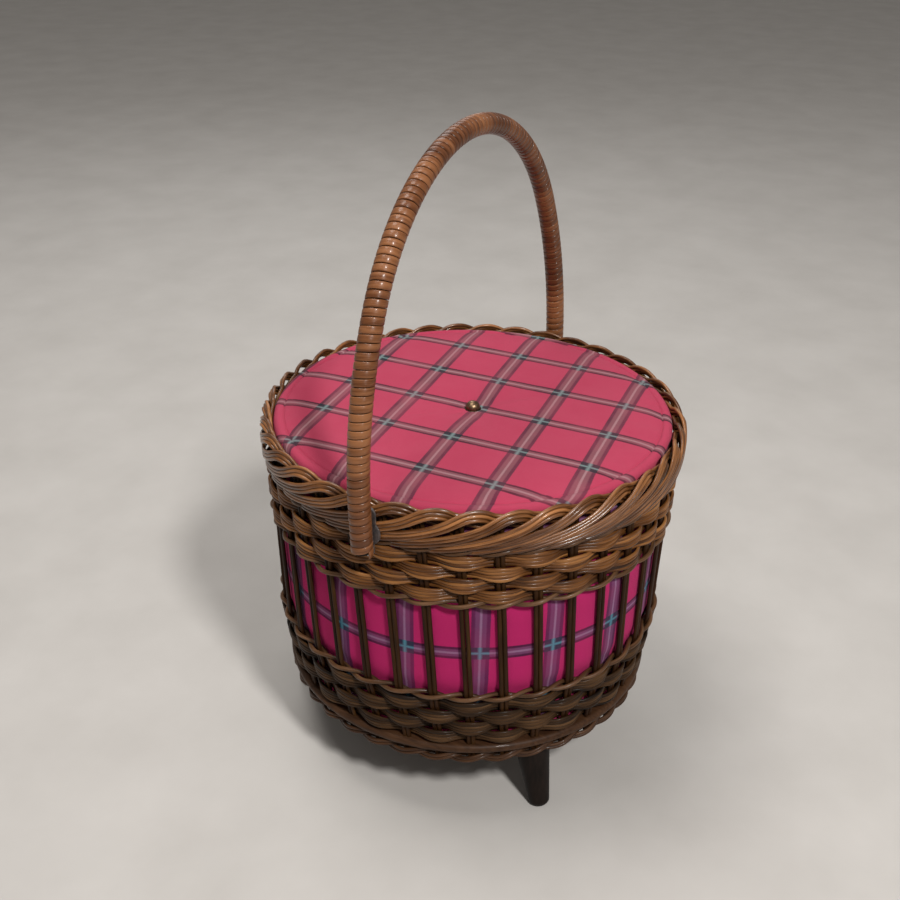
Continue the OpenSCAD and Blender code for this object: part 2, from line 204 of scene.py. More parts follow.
def tartan_material(name, ground, edge, middle, line, crossing, crossing_line,
                    wide_step, narrow_step, faded):
    """Cotton tartan. The cloth attribute holds each point's distance from the middle of a wide
    stripe and of a narrow one, and each kind of stripe repeats at its own step."""
    s = Shader(name, roughness=0.9, specular=0.08)
    from_wide, from_narrow, _ = s.split(s.attribute("cloth"))
    ragged = s.math("MULTIPLY", s.noise(s.attribute("cloth"), 700, 1.0), 0.0006)

    def stripe(distance, step, half_width, stops):
        away = s.math("ADD", s.math("PINGPONG", distance, step / 2), ragged)
        share = s.math("DIVIDE", away, half_width, clamp=True)
        return share, s.ramp(share, *stops)

    wide_stops = ((0.10, line), (0.20, middle), (0.52, middle), (0.66, edge), (0.93, edge),
                  (1.0, ground))
    dark_edge = [0.62 * share for share in edge]
    narrow_stops = ((0.12, line), (0.28, middle), (0.52, middle), (0.64, dark_edge),
                    (0.90, dark_edge), (1.0, ground))
    wide_share, wide = stripe(from_wide, wide_step, WIDE_HALF, wide_stops)
    narrow_share, narrow = stripe(from_narrow, narrow_step, NARROW_HALF, narrow_stops)
    in_wide = s.math("LESS_THAN", wide_share, 0.965)
    in_narrow = s.math("LESS_THAN", narrow_share, 0.965)
    cross = s.math("MINIMUM", wide_share, narrow_share)
    teal = s.ramp(cross, (0.08, crossing_line), (0.32, crossing))
    cloth = s.mix(s.math("MULTIPLY", in_wide, in_narrow), s.mix(in_narrow, wide, narrow), teal)

    warp = s.math("SINE", s.math("MULTIPLY", from_wide, 2 * pi / THREAD))
    weft = s.math("SINE", s.math("MULTIPLY", from_narrow, 2 * pi / THREAD))
    weave = s.math("MULTIPLY", warp, weft)
    wear = s.noise(s.attribute("cloth"), 26, 4.0)
    cloth = s.mix(s.level(wear, 0.35, 0.75, 0.0, 0.30), cloth, faded)
    s.set("Base Color", s.mix(s.level(weave, -1, 1, 0.0, 0.16), cloth, (0, 0, 0)))
    s.set("Sheen Weight", 0.03)
    s.bump(s.math("ADD", weave, s.math("MULTIPLY", wear, 4.0)), 0.00012, 0.8)
    return s.material


def wood_material(name, pale, dark, roughness, direction=(6, 6, 0.8), coat=0.1):
    """Stained wood with its grain along the smallest number in direction."""
    s = Shader(name, specular=0.15)
    stretched = s.stretch(s.here(), [60 * share for share in direction])
    grain = s.noise(stretched, 1.0, 5.0)
    patch = s.noise(s.here(), 22, 3.0)
    shade = s.math("ADD", s.math("MULTIPLY", grain, 0.6), s.math("MULTIPLY", patch, 0.4))
    s.set("Base Color", s.ramp(shade, (0.36, dark), (0.66, pale)))
    s.set("Roughness", s.level(patch, 0.3, 0.7, roughness - 0.07, roughness + 0.12))
    s.set("Coat Weight", coat)
    s.bump(grain, 0.0002, 0.5)
    return s.material


def metal_material(name, pale, dark, roughness, scale=160):
    """Dull metal with tarnish in patches and fine scratches."""
    s = Shader(name)
    patch = s.noise(s.here(), scale, 5.0, 0.65)
    scratch = s.noise(s.stretch(s.here(), (400, 2600, 400)), 1.0, 2.0)
    s.set("Metallic", 1.0)
    s.set("Base Color", s.ramp(patch, (0.38, dark), (0.62, pale)))
    s.set("Roughness", s.level(patch, 0.3, 0.7, roughness + 0.16, roughness - 0.06))
    s.bump(scratch, 0.00006, 0.5)
    return s.material


# ---------------------------------------------------------------- Meshes

def smooth_mesh(name, points, faces, material, **attributes):
    """A smooth-shaded piece, with its faces turned outward. An attribute with three numbers a
    point is a vector."""
    mesh = bpy.data.meshes.new(name)
    mesh.from_pydata(np.asarray(points).tolist(), [], faces)
    if len(faces) > 1:
        shell = bmesh.new()
        shell.from_mesh(mesh)
        bmesh.ops.recalc_face_normals(shell, faces=shell.faces)
        shell.to_mesh(mesh)
        shell.free()
    for key, values in attributes.items():
        values = np.asarray(values, np.float32)
        vector = values.ndim == 2
        layer = mesh.attributes.new(key, "FLOAT_VECTOR" if vector else "FLOAT", "POINT")
        layer.data.foreach_set("vector" if vector else "value", values.ravel())
    mesh.materials.append(material)
    mesh.polygons.foreach_set("use_smooth", [True] * len(mesh.polygons))
    piece = bpy.data.objects.new(name, mesh)
    scene.collection.objects.link(piece)
    return piece


def place(piece, body, slot, *replaced):
    """Rides the piece on its body, in place of the CAD nodes that it stands for."""
    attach(piece, body)
    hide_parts(*replaced)
    return piece


def unit(vectors):
    """The same directions at length 1."""
    return vectors / np.maximum(np.linalg.norm(vectors, axis=-1, keepdims=True), 1e-12)


def tangents(line, closed):
    if closed:
        return unit(np.roll(line, -1, 0) - np.roll(line, 1, 0))
    return unit(np.gradient(line, axis=0))


def across(line, outward, closed=False):
    """Directions sideways and outward that are square to the line."""
    along = tangents(line, closed)
    side = unit(np.cross(along, outward))
    return side, np.cross(side, along)


def grid_faces(rings, sides, closed=False, first=0):
    """Quads between rings of points that go round the same way."""
    a = np.arange(rings if closed else rings - 1)[:, None] * sides
    b = (a + sides) % (rings * sides)
    j = np.arange(sides)[None, :]
    k = (j + 1) % sides
    return (np.stack([a + j, a + k, b + k, b + j], -1).reshape(-1, 4) + first).tolist()


class Canes:
    """Gathers canes into one piece. Each is a tube along a line, with its own run of grain and
    its own shade, which may change along it."""

    def __init__(self, sides=8, bluntness=1.0):
        self.sides = sides
        self.bluntness = bluntness
        self.points, self.faces, self.grain, self.tone = [], [], [], []
        self.count = 0

    def add(self, line, outward, half_width, half_depth, tone=0.0, closed=False):
        n, m = len(line), self.sides
        side, out = across(line, outward, closed)
        turn = 2 * pi * (np.arange(m) + 0.5) / m
        x, y = (np.sign(a) * np.abs(a) ** self.bluntness for a in (np.cos(turn), np.sin(turn)))
        wide = x * np.reshape(half_width * np.ones(n), (-1, 1))
        deep = y * np.reshape(half_depth * np.ones(n), (-1, 1))
        ring = line[:, None] + wide[..., None] * side[:, None] + deep[..., None] * out[:, None]
        steps = np.linalg.norm(np.diff(line, axis=0), axis=1)
        length = np.concatenate([[0], np.cumsum(steps)])[:, None] + np.zeros((1, m))
        grain = np.stack([length, wide, deep], -1) + rng.uniform(0, 3, 3)
        self.points.append(ring.reshape(-1, 3))
        self.grain.append(grain.reshape(-1, 3))
        shade = tone + rng.normal(0, 0.06)
        self.tone.append(np.repeat(shade * np.ones(n), m))
        self.faces += grid_faces(n, m, closed, self.count)
        if not closed:
            last = self.count + (n - 1) * m
            self.faces.append([self.count + j for j in reversed(range(m))])
            self.faces.append([last + j for j in range(m)])
        self.count += n * m

    def build(self, name, material):
        return smooth_mesh(
            name, np.concatenate(self.points), self.faces, material,
            grain=np.concatenate(self.grain), tone=np.concatenate(self.tone),
        )


def wander(n, spacing, amount):
    """A smooth seeded wobble, with a turn every so many samples."""
    knots = rng.normal(0, amount, n // spacing + 3)
    x = np.arange(n) / spacing
    i = x.astype(int)
    blend = (1 - np.cos(pi * (x - i))) / 2
    return knots[i] * (1 - blend) + knots[i + 1] * blend


def through(points, samples):
    """A smooth curve through the points, as rows of the same numbers."""
    p = np.asarray(points, float)
    p = np.vstack([2 * p[0] - p[1], p, 2 * p[-1] - p[-2]])
    x = np.linspace(0, len(points) - 1 - 1e-9, samples)
    i = x.astype(int)
    t = (x - i)[:, None]
    a, b, c, d = p[i], p[i + 1], p[i + 2], p[i + 3]
    return 0.5 * (2 * b + (c - a) * t + (2 * a - 5 * b + 4 * c - d) * t ** 2
                  + (3 * b - a - 3 * c + d) * t ** 3)


# ---------------------------------------------------------------- The wall, from the frame

STAKES = 37
STEP = 2 * pi / STAKES
ROWS = 4
ROW_GAP = 0.8 * MM
CLIMB = 4
SAMPLES = 10


def stake_circles():
    """The heights at which the CAD stakes bend, with the radius and the turn of their circle."""
    points = np.array([v.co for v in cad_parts["stakes"].data.vertices])
    heights = np.unique(np.round(points[:, 2], 4))
    radius, turn = [], []
    for z in heights:
        ring = points[np.abs(points[:, 2] - z) < 0.1 * MM]
        away = np.hypot(ring[:, 0], ring[:, 1])
        radius.append((away.min() + away.max()) / 2)
        phase = np.exp(1j * STAKES * np.arctan2(ring[:, 1], ring[:, 0])).mean()
        turn.append(np.angle(phase) / STAKES)
    return heights, np.array(radius), np.array(turn)


HEIGHTS, RADII, TURNS = stake_circles()


def ring_radius(z):
    """The radius of the circle of stakes at a height."""
    return np.interp(z, HEIGHTS, RADII)


def on_wall(s, out, z):
    """The point at s stake steps round the wall, so far outside the circle of stakes."""
    angle = STEP * s + np.interp(z, HEIGHTS, TURNS)
    r = ring_radius(z) + out
    return np.stack([r * np.cos(angle), r * np.sin(angle), z + 0 * r], -1)


def radial(points):
    """The directions level and straight out from the basket's axis."""
    return unit(points * [1, 1, 0])


def make_stakes(material):
    """Pairs of canes that stand side by side and lean a little round the wall."""
    canes = Canes()
    half_width, half_depth, half_pair = 1.9 * MM, 1.6 * MM, 1.85 * MM
    z = np.linspace(HEIGHTS[0], HEIGHTS[-1], 40)
    for k in range(STAKES):
        for side in (-1, 1):
            wobble = side * half_pair + wander(len(z), 12, 0.06 * MM)
            line = on_wall(k + wobble / (STEP * ring_radius(z)), 0 * z, z)
            canes.add(line, radial(line), half_width, half_depth, tone=0.03 * side)
    place(canes.build("stake_canes", material), "basket", "cane_stake", "stakes")


def make_slewed_rows(name, node, material):
    """Four canes side by side that go over one stake pair and under the next. The rows stay
    level and climb to the next row over the last few stakes of each turn, and the first and
    last rows taper into the wedges that this leaves. Each bundle spreads where it passes a
    stake and squeezes between its neighbours half way to the next."""
    canes = Canes()
    low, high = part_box(node)
    pitch = (high.z - low.z + ROW_GAP) / ROWS
    swing, bend, half_depth = 3.25 * MM, 0.9, 1.4 * MM
    last = ROWS * STAKES - CLIMB
    ends = 0.7 * CLIMB
    s = np.arange(-ends, last + ends, 1 / SAMPLES)
    whole = np.clip(s, 0, last)
    climb = np.maximum(whole % STAKES - (STAKES - CLIMB), 0) / CLIMB
    taper = 1 - np.abs(s - whole) / CLIMB
    middle = low.z + (pitch - ROW_GAP) / 2 + pitch * (np.floor(whole / STAKES) + climb)
    middle += np.sign(s - whole) * (1 - taper) * pitch / 2
    wave = np.tanh(bend * np.cos(pi * s)) / np.tanh(bend)
    inner_room = np.clip((middle - low.z) / pitch, 0.5, 1.0)
    spread = taper * (1 + 0.27 * wave ** 2 * inner_room)
    for j in (-1.5, -0.5, 0.5, 1.5):
        z = middle + spread * (j * pitch / 4 + wander(len(s), 9, 0.16 * MM))
        out = swing * wave + wander(len(s), 7, 0.10 * MM)
        line = on_wall(s, out, z)
        # Painted highlight where the bundle passes outside a stake and painted shade where it passes
        # behind one; the wander adds random tone.
        tone = 0.09 * wave + wander(len(s), 17, 0.11)
        half_width = 0.144 * pitch * np.maximum(spread, 0.6)
        canes.add(line, radial(line), half_width, half_depth, tone=tone)
    place(canes.build(name, material), "basket", "cane", node)


def make_pairing(name, node, material):
    """Two thin canes twisted round each other between the stakes. With an odd number of stakes
    they are one cane that goes round twice."""
    canes = Canes()
    low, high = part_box(node)
    radius, swing, rise = 1.8 * MM, 3.3 * MM, 1.9 * MM
    s = np.arange(0, 2 * STAKES, 1 / SAMPLES)
    z = (low.z + high.z) / 2 + rise * np.sin(pi * s)
    line = on_wall(s, swing * np.cos(pi * s), z)
    # The tone paints highlight where the cane passes outside a stake and shade where it passes
    # behind one.
    canes.add(line, radial(line), radius, radius, tone=0.10 * np.cos(pi * s), closed=True)
    place(canes.build(name, material), "basket", "cane_thin", node)


def make_foot_border(material):
    """Pairs of canes twisted round each other under the edge of the base board."""
    canes = Canes()
    low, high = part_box("foot_border")
    radius, swing, rise = 1.5 * MM, 3.2 * MM, 2.3 * MM
    s = np.arange(0, 2 * STAKES, 1 / SAMPLES)
    z = (low.z + high.z) / 2 + rise * np.sin(pi * s)
    middle = on_wall(s, 0.2 * MM + swing * np.cos(pi * s), z)
    side, _ = across(middle, radial(middle), closed=True)
    for offset in (-1.5 * MM, 1.5 * MM):
        line = middle + offset * side
        # The tone paints highlight where the canes pass outside a stake and shade where they pass
        # behind one.
        canes.add(line, radial(line), radius, radius, tone=0.05 * np.cos(pi * s), closed=True)
    place(canes.build("foot_border_canes", material), "basket", "cane_dark", "foot_border")


def make_top_border(material):
    """At each stake pair three canes bend over to the side, climb over their neighbours, dip
    behind the rim and end inside. Together the loops make the plaited rim."""
    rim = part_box("top_border")[1].z
    route = [  # stake steps, outside the circle of stakes, below the rim's top, tilt of the canes
        (0.0, 0.5, 35, 0), (0.4, 3.4, 33, 0), (0.9, 4.9, 30, 0), (1.4, 5.5, 26.5, 0),
        (1.9, 6.1, 22.3, 0), (2.35, 6.3, 17.6, 0), (2.7, 6.0, 13.0, 6), (2.98, 5.1, 8.6, 18),
        (3.22, 3.8, 5.8, 30), (3.46, 2.1, 5.3, 34), (3.68, 0.4, 6.9, 22), (3.88, -1.3, 9.9, 8),
        (4.18, -2.0, 11.4, 0), (4.55, -2.1, 13.6, 0), (4.8, -2.0, 18, 0), (4.92, -1.8, 23, 0),
    ]
    behind = 3.9
    canes = Canes()
    u, out, below, tilt = through(route, 70).T
    crest = np.minimum(u / behind, 1) ** 3
    radius, spacing = (1.44 + 0.16 * crest) * MM, (2.55 + 0.6 * crest) * MM
    for k in range(STAKES):
        lift, swell = rng.normal(0, 0.3, 2)
        shape = np.sin(pi * np.linspace(0, 1, len(u)))
        height = rim - (below - 0.4 * lift * shape) * MM
        middle = on_wall(k + u, (out + swell * shape) * MM, height)
        side, outward = across(middle, radial(middle))
        lean = np.radians(tilt)[:, None]
        apart = np.cos(lean) * side + np.sin(lean) * outward
        for cane in (-1, 0, 1):
            line = middle + cane * spacing[:, None] * apart
            # The tone paints highlight on the loop's crest and shade towards both ends, which lie
            # under the neighbouring loops and behind the rim.
            canes.add(line, radial(line), radius, radius, tone=0.03 + 0.10 * shape)
    place(canes.build("top_border_canes", material), "basket", "cane_border", "top_border")


# ---------------------------------------------------------------- Handle

CROWN_RADIUS = 172 * MM
SHOULDER_BELOW_RIM = 4 * MM
HANDLE_RADIUS = 8.2 * MM
HANDLE_LEAN = radians(2)
HANDLE_END = 11 * MM


def arch_line(spacing):
    """The handle's centre line: two uprights, two side arcs and a crown arc, which run into
    each other smoothly, all leaning a little off upright at the pivots."""
    stud_low, stud_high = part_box("pivot_stud_right")
    pivot = (stud_low.z + stud_high.z) / 2
    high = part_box("handle_wrap")[1]
    span = high.x - HANDLE_RADIUS
    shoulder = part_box("top_border")[1].z - SHOULDER_BELOW_RIM
    crown_z = pivot + (high.z - HANDLE_RADIUS - pivot) / cos(HANDLE_LEAN) - CROWN_RADIUS
    lift = crown_z - shoulder
    side_r = (span ** 2 + lift ** 2 - CROWN_RADIUS ** 2) / (2 * (span - CROWN_RADIUS))
    side_x = span - side_r
    sweep = atan2(lift, -side_x)
    half = [(span, pivot - HANDLE_END)]
    half += [(side_x + side_r * cos(a), shoulder + side_r * sin(a))
             for a in np.linspace(0, sweep, 160)]
    half += [(CROWN_RADIUS * cos(a), crown_z + CROWN_RADIUS * sin(a))
             for a in np.linspace(sweep, pi / 2, 160)[1:]]
    half = np.array(half)
    arch = np.vstack([half, half[-2::-1] * [-1, 1]])
    away = np.concatenate([[0], np.cumsum(np.hypot(*np.diff(arch, axis=0).T))])
    even = np.linspace(0, away[-1], int(away[-1] / spacing))
    x, z = (np.interp(even, away, arch[:, i]) for i in (0, 1))
    up = z - pivot
    return even, np.stack([x, up * sin(HANDLE_LEAN), pivot + up * cos(HANDLE_LEAN)], -1)


def make_handle_wrap(material):
    """A strip of cane wound round the core, edge to edge."""
    canes = Canes(sides=10, bluntness=0.6)
    pitch, strip, thick = 5.9 * MM, 5.6 * MM, 1.2 * MM
    steps_per_turn = 40
    length, centre = arch_line(pitch / steps_per_turn)
    along = tangents(centre, False)
    depth = np.array([[0, cos(HANDLE_LEAN), -sin(HANDLE_LEAN)]]) * np.ones((len(centre), 1))
    out = np.cross(depth, along)
    turn = (2 * pi * length / pitch)[:, None]
    around = np.cos(turn) * out + np.sin(turn) * depth
    line = centre + (HANDLE_RADIUS - thick / 2 + 0.1 * MM) * around
    slack = wander(len(line), steps_per_turn * 2, 0.12 * MM)[:, None]
    line = line + slack * along
    tone = wander(len(line), steps_per_turn, 0.05) + wander(len(line), 5 * steps_per_turn, 0.09)
    canes.add(line, around, strip / 2, thick / 2, tone=tone)
    place(canes.build("handle_cane_wrap", material), "handle", "handle_cane", "handle_wrap")


# ---------------------------------------------------------------- Cloth pieces

LID_WIDE_STEP, LINING_WIDE_STEP, NARROW_STEP = 56.8 * MM, 57.6 * MM, 55.0 * MM
LINING_STRIPE_ANGLE, LINING_STRIPE_Z = 187.5, 177.5 * MM
LINING_SEAM_ANGLE = 24.5
FULLNESS = 2.4 * MM
BARE_WALL = [height * MM for height in (138, 150, 212, 224)]


def lathe(profile, sides):
    """Rings of points round the Z axis, one for each radius and height of the profile."""
    turn = 2 * pi * np.arange(sides) / sides
    r, z = np.array(profile).T
    ring = np.stack([np.outer(r, np.cos(turn)), np.outer(r, np.sin(turn)),
                     np.outer(z, np.ones(sides))], -1)
    return ring.reshape(-1, 3)


def seam_ends(rings, m):
    """Quads that close the two ends of a thin wall, whose loop runs up outside and down inside."""
    first = [[(i + 1) % m, i % m, m - 3 - i, m - 4 - i] for i in range(-1, m // 2 - 2)]
    last = (rings - 1) * m
    return first + [[last + j for j in reversed(quad)] for quad in first]


def make_lining(material):
    """Tartan stretched over a card wall, folded over at the top, with a seam at the back."""
    low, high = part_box("lining_wall")
    outer = np.array([v.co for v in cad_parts["lining_wall"].data.vertices])
    top = np.hypot(*outer[outer[:, 2] > high.z - MM][:, :2].T)
    gap = ring_radius(high.z) - top.max()
    columns = 6 * STAKES
    heights = np.linspace(low.z, high.z, 44)
    thick, fold, seam_gap = 1.5 * MM, 0.5 * MM, radians(0.06)
    outside = [(gap, z) for z in heights[1:-1]]
    inside = [(gap + thick, z) for z in heights[-2:0:-1]]
    ends_top = [(gap + fold / 2, high.z - fold / 4), (gap + thick - fold / 2, high.z - fold / 4)]
    ends_low = [(gap + thick - fold / 2, low.z), (gap + fold / 2, low.z)]
    loop = outside + ends_top + inside + ends_low
    seam = radians(LINING_SEAM_ANGLE)
    reach = ring_radius(LINING_STRIPE_Z) - gap
    tall = high.z - low.z
    points, cloth = [], []
    for c in range(columns + 1):
        angle = seam + (2 * pi - seam_gap) * c / columns
        for inset, z in loop:
            pucker = 0.12 * MM * (1 + sin(9 * angle + 40 * z)) * sin(pi * (z - low.z) / tall)
            full = np.interp(z, BARE_WALL, (0, 1, 1, 0))
            r = ring_radius(z) - inset - max(pucker, 0) + FULLNESS * full * full * (3 - 2 * full)
            points.append((r * cos(angle), r * sin(angle), z))
            cloth.append((reach * (angle - radians(LINING_STRIPE_ANGLE)), z - LINING_STRIPE_Z, 0))
    faces = grid_faces(columns + 1, len(loop)) + seam_ends(columns + 1, len(loop))
    piece = smooth_mesh("lining_cloth", points, faces, material, cloth=cloth)
    place(piece, "basket", "lining_cloth", "lining_wall")


def make_base_pad(material):
    """A card disc padded and covered in the lining's tartan, loose on the base board."""
    low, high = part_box("base_pad")
    r, h = high.x, high.z - low.z
    profile = [(0.3 * MM, low.z), (r - 2 * MM, low.z), (r - 0.4 * MM, low.z + 0.3 * h),
               (r - 0.4 * MM, low.z + 0.55 * h), (r - 2 * MM, low.z + 0.85 * h)]
    profile += [(x, high.z + 0.8 * MM * sin(pi * x / r))
                for x in np.linspace(r - 6 * MM, 0.3 * MM, 26)]
    sides = 96
    points = lathe(profile, sides)
    cloth = np.stack([points[:, 1] + 20 * MM, points[:, 0], 0 * points[:, 0]], -1)
    faces = grid_faces(len(profile), sides, closed=True)
    piece = smooth_mesh("base_pad_cloth", points, faces, material, cloth=cloth)
    place(piece, "basket", "lining_cloth", "base_pad")


def blown_panel(radius, held_radius, face_z, most):
    """A round panel of cloth with a little fullness, held at its rim and under the knob and
    pushed up by the padding. It comes back as a tree that rays can hit."""
    cells = 60
    line = np.linspace(-1, 1, cells + 1)
    u, v = (a.ravel() for a in np.meshgrid(line, line))
    x, y = radius * u * np.sqrt(1 - v * v / 2), radius * v * np.sqrt(1 - u * u / 2)
    r = np.hypot(x, y)
    z = face_z - 3.0 * MM * np.exp(-((r / (16 * MM)) ** 2)) + rng.normal(0, 0.05 * MM, len(r))
    j, i = (a.ravel() for a in np.meshgrid(np.arange(cells), np.arange(cells)))
    a = i * (cells + 1) + j
    faces = np.stack([a, a + 1, a + cells + 2, a + cells + 1], -1).tolist()
    mesh = bpy.data.meshes.new("panel")
    mesh.from_pydata(np.stack([x, y, z], -1).tolist(), [], faces)
    panel = bpy.data.objects.new("panel", mesh)
    scene.collection.objects.link(panel)
    pins = panel.vertex_groups.new(name="held")
    held = np.flatnonzero((r > radius - MM) | (r < held_radius))
    pins.add(held.tolist(), 1.0, "REPLACE")
    cloth = panel.modifiers.new("cloth", "CLOTH")
    cloth.settings.quality = 8
    cloth.settings.mass = 0.3
    cloth.settings.tension_stiffness = 15
    cloth.settings.compression_stiffness = 15
    cloth.settings.bending_stiffness = 0.6
    cloth.settings.shrink_min = -0.006
    cloth.settings.use_pressure = True
    cloth.settings.uniform_pressure_force = 4
    cloth.settings.vertex_group_mass = "held"
    cloth.settings.effector_weights.gravity = 0
    cloth.point_cache.frame_start, cloth.point_cache.frame_end = 1, 20
    for frame_number in range(1, 21):
        scene.frame_set(frame_number)
    moved = panel.evaluated_get(bpy.context.evaluated_depsgraph_get()).to_mesh()
    after = np.array([p.co for p in moved.vertices])
    lift = after[:, 2] - face_z
    after[:, 2] = face_z + np.minimum(most * np.tanh(lift / most), most)
    tree = BVHTree.FromPolygons(after.tolist(), faces)
    bpy.data.objects.remove(panel)
    scene.frame_set(1)
    return tree


def make_lid_cushion(material):
    """The lid's padded cover: a crowned round cushion drawn down at the knob, with a stitched
    seam inside its edge, rolled over the board and hemmed underneath."""
    low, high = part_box("lid_cover")
    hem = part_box("lid_underside")[1].x + 0.3 * MM
    board_low, board_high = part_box("lid_board")[0].z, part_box("lid_board")[1].z
    edge, face = high.x, high.z
    seam_r = edge - 8.5 * MM
    hole = 2.2 * MM
    tree = blown_panel(seam_r, 5.5 * MM, face, 3.0 * MM)

    roll = [(edge - inward * MM, face + up * MM) for inward, up in (
        (7.6, 0.2), (6.4, 0.35), (5.0, 0.35), (3.6, 0.1), (2.4, -0.5), (1.4, -1.3), (0.6, -2.6),
        (0.15, -4.4), (0.0, -7.0))]
    under = [(edge - 0.5 * MM, low.z + 0.6 * MM), (edge - 1.4 * MM, low.z), (hem, low.z),
             (hem, board_low - 0.1 * MM), (edge - 1.3 * MM, board_low - 0.1 * MM),
             (edge - 1.3 * MM, board_high + 0.1 * MM), (hole, board_high + 0.1 * MM)]
    top_r = np.concatenate([
        np.linspace(hole, 12 * MM, 8), np.linspace(14 * MM, seam_r - 5 * MM, 60),
        seam_r - np.array([3.4, 2.2, 1.4, 0.9, 0.45]) * MM, [seam_r],
        seam_r + np.array([0.4]) * MM,
    ])
    profile = [(r, face) for r in top_r] + roll + under
    sides = 256
    points = lathe(profile, sides)
    r = np.hypot(points[:, 0], points[:, 1])
    angle = np.arctan2(points[:, 1], points[:, 0])
    on_top = np.arange(len(points)) < len(top_r) * sides
    for i in np.flatnonzero(on_top):
        x, y, _ = points[i]
        if tree is None:
            crown = 2.0 * MM * sin(pi * min(1, r[i] / seam_r))
            z = face + crown - 3 * MM * np.exp(-((r[i] / 0.016) ** 2))
        else:
            shrink = min(1.0, (seam_r - 0.4 * MM) / max(r[i], 1e-6))
            hit = tree.ray_cast((x * shrink, y * shrink, face + 0.05), (0, 0, -1))[0]
            z = hit.z if hit else face
        points[i, 2] = z
    pleats = np.sin(9 * angle + 1.4 * np.sin(2 * angle)) * np.exp(-((r / (34 * MM)) ** 2))
    pleats *= np.clip((r - 5 * MM) / (8 * MM), 0, 1)
    groove = -0.85 * MM * np.exp(-(((r - seam_r) / (0.8 * MM)) ** 2))
    gathers = 0.16 * MM * np.sin(46 * angle + 3 * np.sin(5 * angle)) * np.exp(
        -(((r - seam_r) / (4.5 * MM)) ** 2))
    points[:, 2] += np.where(on_top, 0.45 * MM * pleats + groove + gathers, 0)

    flat = points[:, :2].copy()
    pull = np.exp(-((r / (32 * MM)) ** 2))
    flat[:, 0] -= 8 * MM * pull
    lap = np.maximum(0, face - points[:, 2]) * (r > seam_r)
    flat *= (1 + lap / np.maximum(r, MM))[:, None]
    ripple = 1.2 * MM * np.sin(14 * angle) * np.clip((r - seam_r + 10 * MM) / (18 * MM), 0, 1)
    x, y = flat.T
    wide = y - 0.075 * x + 5 * MM + ripple
    narrow = x + 0.038 * y + 6 * MM + ripple
    cloth = np.stack([wide, narrow, 0 * x], -1)
    faces = grid_faces(len(profile), sides, closed=True)
    piece = smooth_mesh("lid_cushion", points, faces, material, cloth=cloth)
    place(piece, "lid", "lid_cloth", "lid_cover", "lid_padding")


def make_lid_underside(material):
    """A disc of cloth stuck under the board inside the hem."""
    low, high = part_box("lid_underside")
    hole, bevel = 2 * MM, 0.4 * MM
    profile = [(hole, low.z)] + [(r, low.z) for r in np.linspace(high.x - 6 * MM, 20 * MM, 12)[::-1]]
    profile += [(high.x - bevel, low.z + 0.1 * MM), (high.x, (low.z + high.z) / 2),
                (high.x - bevel, high.z), (hole, high.z)]
    sides = 96
    points = lathe(profile, sides)
    faces = grid_faces(len(profile), sides, closed=True)
    cloth = np.stack([points[:, 1], points[:, 0], 0 * points[:, 0]], -1)
    piece = smooth_mesh("lid_underside_cloth", points, faces, material, cloth=cloth)
    place(piece, "lid", "lining_cloth", "lid_underside")


def make_knob(brass, dark):
    """A domed bead on a dark collar."""
    low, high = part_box("lid_knob")
    r, h = high.x, high.z - low.z
    dome = [(r * cos(a), low.z + 0.32 * h + 0.68 * h * sin(a))
            for a in np.linspace(-0.5, pi / 2, 22)]
    profile = [(0.3 * r, low.z), (0.62 * r, low.z), (0.62 * r, low.z + 0.12 * h)] + dome[:-1]
    profile += [(0.02 * r, high.z), (0.02 * r, low.z + 0.4 * h), (0.3 * r, low.z + 0.4 * h)]
    sides = 48
    piece = smooth_mesh("knob_bead", lathe(profile, sides),
                        grid_faces(len(profile), sides, closed=True), brass)
    place(piece, "lid", "knob_brass", "lid_knob")
    ring = [(1.06 * r + 0.7 * MM * cos(a), low.z + 0.9 * MM + 0.6 * MM * sin(a))
            for a in np.linspace(0, 2 * pi, 12, endpoint=False)]
    collar = smooth_mesh("knob_collar", lathe(ring, sides),
                         grid_faces(len(ring), sides, closed=True), dark)
    place(collar, "lid", "knob_brass")


# ---------------------------------------------------------------- The whole basket

def make_floor():
    """A plain pale floor with faint patches."""
    half = 6.0
    corners = [(-half, -half, 0), (half, -half, 0), (half, half, 0), (-half, half, 0)]
    s = Shader("pale_floor", roughness=0.8, specular=0.2)
    patch = s.noise(s.here(), 9, 4.0)
    s.set("Base Color", s.ramp(patch, (0.3, (0.47, 0.455, 0.435)), (0.7, (0.52, 0.505, 0.485))))
    floor = smooth_mesh("floor", corners, [[0, 1, 2, 3]], s.material)


def finish_node(name, material):
    """A CAD node that keeps its shape gets its finish."""
    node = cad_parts[name]
    node.data.materials.clear()
    node.data.materials.append(material)


make_camera()
make_lights()
make_floor()

wall_cane = cane_material(
    "wall_cane", pale=(0.32, 0.14, 0.042), mid=(0.12, 0.043, 0.009), dark=(0.022, 0.008, 0.003))
